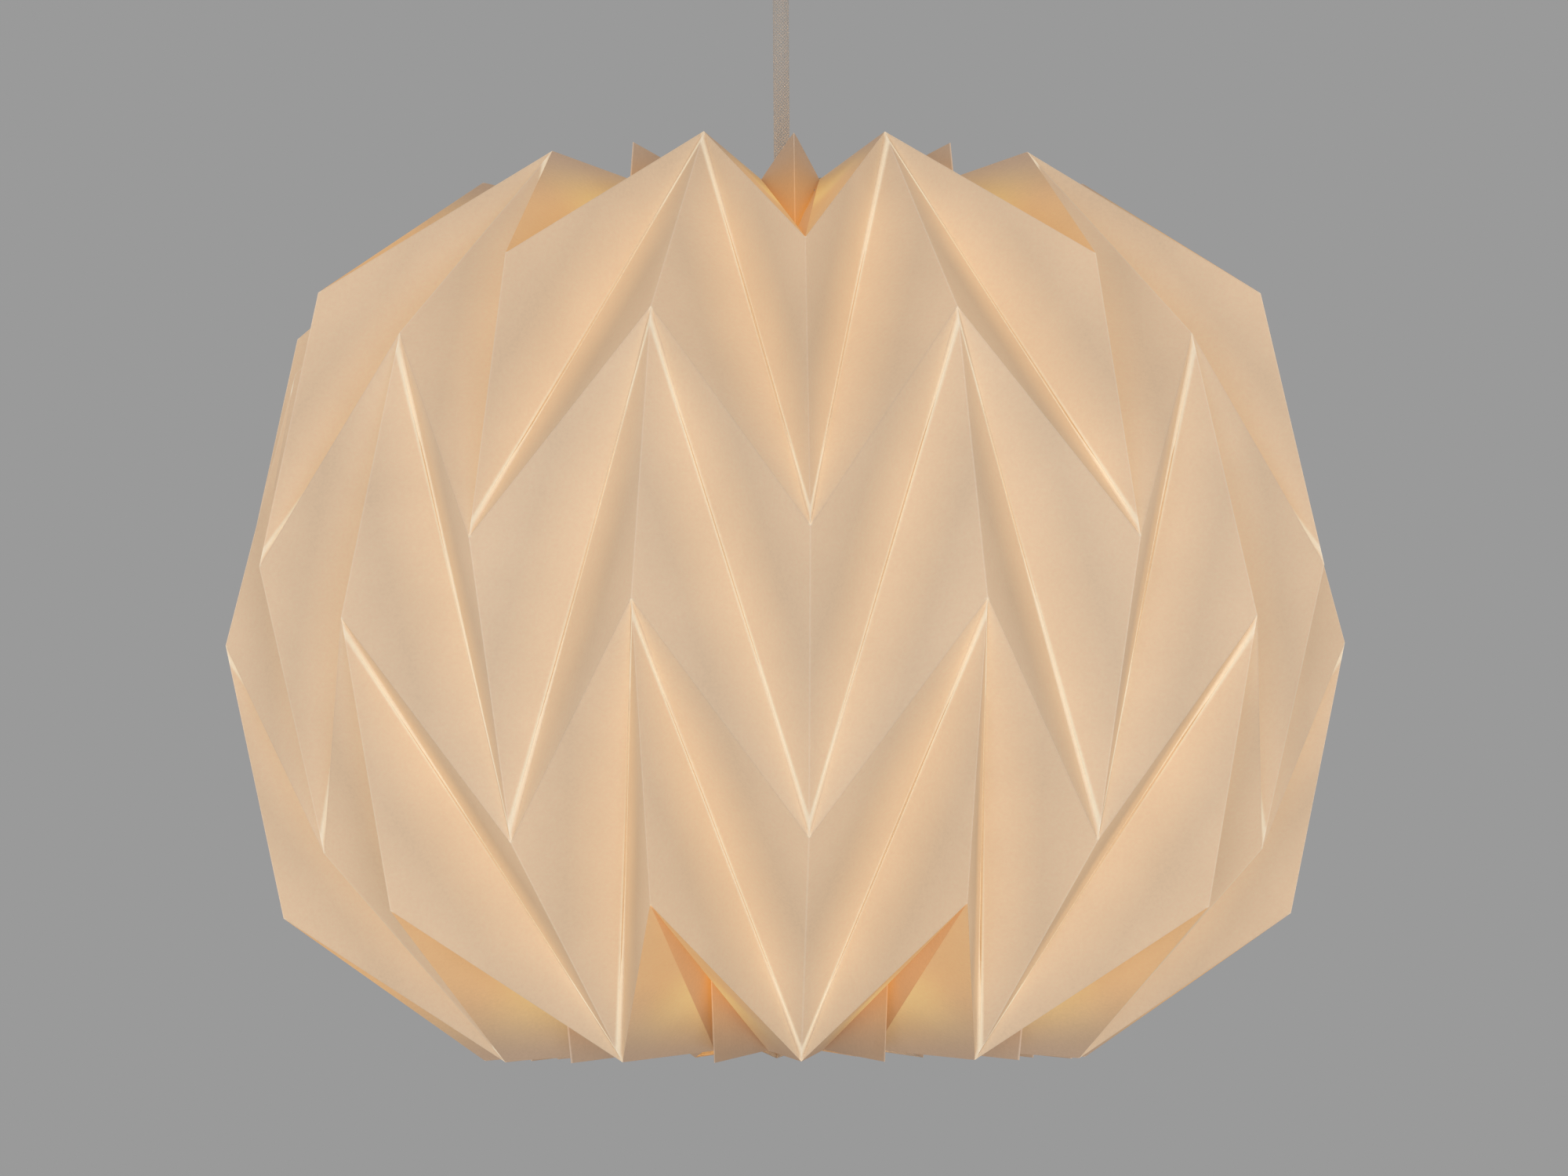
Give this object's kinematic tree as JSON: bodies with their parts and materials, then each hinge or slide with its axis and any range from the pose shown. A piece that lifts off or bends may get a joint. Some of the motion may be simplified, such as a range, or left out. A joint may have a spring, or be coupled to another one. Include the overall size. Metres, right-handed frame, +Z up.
{
  "type": "paper pendant lantern",
  "caption": "Round pleated paper pendant shade with zigzag folds, hung by a braided cord from a small ceiling cup, with lamp holder and bulb inside.",
  "frame": {"origin": "centre of the ceiling plate's flat top face", "axes": "+Z up, away from the lamp along the cord; -Y is the side seen from the front; +X to the front viewer's right"},
  "size_m": [0.3985, 0.4002, 0.4625],
  "materials": {
    "paper": "matt folded card",
    "thread": "twisted cotton",
    "wire": "zinc-plated",
    "white_plastic": "satin",
    "ceramic": "glazed",
    "brass": "bright",
    "clear_glass": "polished",
    "cap_metal": "satin",
    "black_glass": "vitreous",
    "filament": "coated",
    "braided_cord": "braided",
    "steel": "satin",
    "white_metal": "powder coat"
  },
  "bodies": {
    "ceiling": {"ceiling_plate": "steel", "cord_clamp": "white_plastic", "clamp_screw": "steel", "terminal_block": "white_plastic", "cord_tail": "braided_cord", "ceiling_cup": "white_metal", "cup_bush": "white_plastic", "bush_nut": "steel", "grub_screw": "steel"},
    "pendant": {"pendant_cord": "braided_cord", "holder_cord_grip": "white_plastic", "holder_cap": "white_plastic", "holder_skirt": "white_plastic", "holder_insert": "ceramic", "terminal_screw_left": "brass", "terminal_screw_right": "brass", "centre_contact": "brass", "screw_shell": "brass"},
    "shade": {"shade_sheet_front": "paper", "shade_sheet_back": "paper", "gathering_thread": "thread", "carrier_rim": "wire", "carrier_spoke_1": "wire", "carrier_spoke_2": "wire", "carrier_spoke_3": "wire", "carrier_hub": "wire"},
    "ring": {"shade_ring": "white_plastic"},
    "bulb": {"bulb_glass": "clear_glass", "bulb_cap": "cap_metal", "bulb_insulator": "black_glass", "bulb_contact": "brass", "bulb_stem": "clear_glass", "bulb_filament": "filament"}
  },
  "joints": [
    {"name": "pendant_swing", "type": "hinge", "parent": "ceiling", "child": "pendant", "pos_m": [0, 0, -0.0692], "axis": [1, 0, 0], "range_deg": [-25, 25]},
    {"name": "shade_turn", "type": "hinge", "parent": "pendant", "child": "shade", "pos_m": [0, 0, -0.188], "axis": [0, 0, 1], "continuous": true},
    {"name": "ring_unscrew", "type": "slide", "parent": "pendant", "child": "ring", "axis": [0, 0, -1], "range_m": [0, 0.024]},
    {"name": "bulb_unscrew", "type": "slide", "parent": "pendant", "child": "bulb", "axis": [0, 0, -1], "range_m": [0, 0.03]}
  ]
}
